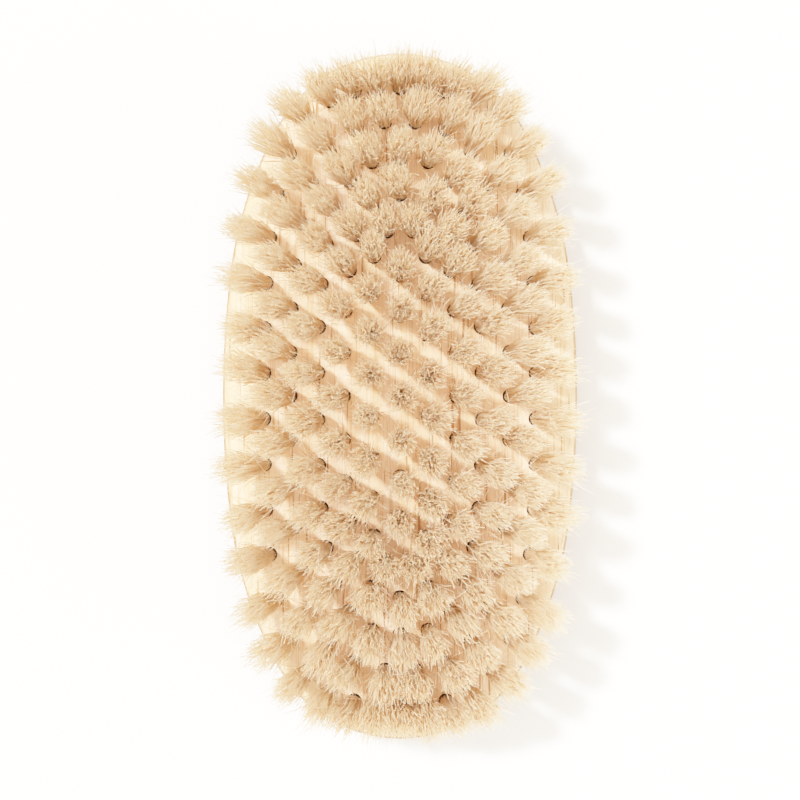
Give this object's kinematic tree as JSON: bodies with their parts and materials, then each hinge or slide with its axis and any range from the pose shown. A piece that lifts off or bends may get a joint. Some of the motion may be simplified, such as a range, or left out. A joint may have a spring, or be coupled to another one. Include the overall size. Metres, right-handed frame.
{
  "type": "body dry brush",
  "caption": "Oval wooden body dry brush with splayed tufts of pale plant fibre in nested rings, each folded round a wire anchor in a blind hole, and a finger groove round the block.",
  "frame": {"origin": "centre of the block's flat back, which the brush rests on with its bristles up", "axes": "+Z out of the bristles, +Y along the block's long axis, +X across the block"},
  "size_m": [0.0724, 0.14, 0.04],
  "materials": {
    "wood": "fine sanded, unvarnished",
    "plant_fibre": "dry, matt, slightly silky",
    "anchor_wire": "drawn flat wire"
  },
  "bodies": {
    "root": {"centre_row_anchors": "anchor_wire", "centre_row_tufts": "plant_fibre", "fourth_ring_front_anchors": "anchor_wire", "fourth_ring_front_tufts": "plant_fibre", "fourth_ring_left_anchors": "anchor_wire", "fourth_ring_left_tufts": "plant_fibre", "fourth_ring_rear_anchors": "anchor_wire", "fourth_ring_rear_tufts": "plant_fibre", "fourth_ring_right_anchors": "anchor_wire", "fourth_ring_right_tufts": "plant_fibre", "inner_ring_front_anchors": "anchor_wire", "inner_ring_front_tufts": "plant_fibre", "inner_ring_left_anchors": "anchor_wire", "inner_ring_left_tufts": "plant_fibre", "inner_ring_rear_anchors": "anchor_wire", "inner_ring_rear_tufts": "plant_fibre", "inner_ring_right_anchors": "anchor_wire", "inner_ring_right_tufts": "plant_fibre", "outer_ring_front_anchors": "anchor_wire", "outer_ring_front_tufts": "plant_fibre", "outer_ring_left_anchors": "anchor_wire", "outer_ring_left_tufts": "plant_fibre", "outer_ring_rear_anchors": "anchor_wire", "outer_ring_rear_tufts": "plant_fibre", "outer_ring_right_anchors": "anchor_wire", "outer_ring_right_tufts": "plant_fibre", "second_ring_front_anchors": "anchor_wire", "second_ring_front_tufts": "plant_fibre", "second_ring_left_anchors": "anchor_wire", "second_ring_left_tufts": "plant_fibre", "second_ring_rear_anchors": "anchor_wire", "second_ring_rear_tufts": "plant_fibre", "second_ring_right_anchors": "anchor_wire", "second_ring_right_tufts": "plant_fibre", "third_ring_front_anchors": "anchor_wire", "third_ring_front_tufts": "plant_fibre", "third_ring_left_anchors": "anchor_wire", "third_ring_left_tufts": "plant_fibre", "third_ring_rear_anchors": "anchor_wire", "third_ring_rear_tufts": "plant_fibre", "third_ring_right_anchors": "anchor_wire", "third_ring_right_tufts": "plant_fibre", "wood_block": "wood"}
  },
  "joints": []
}
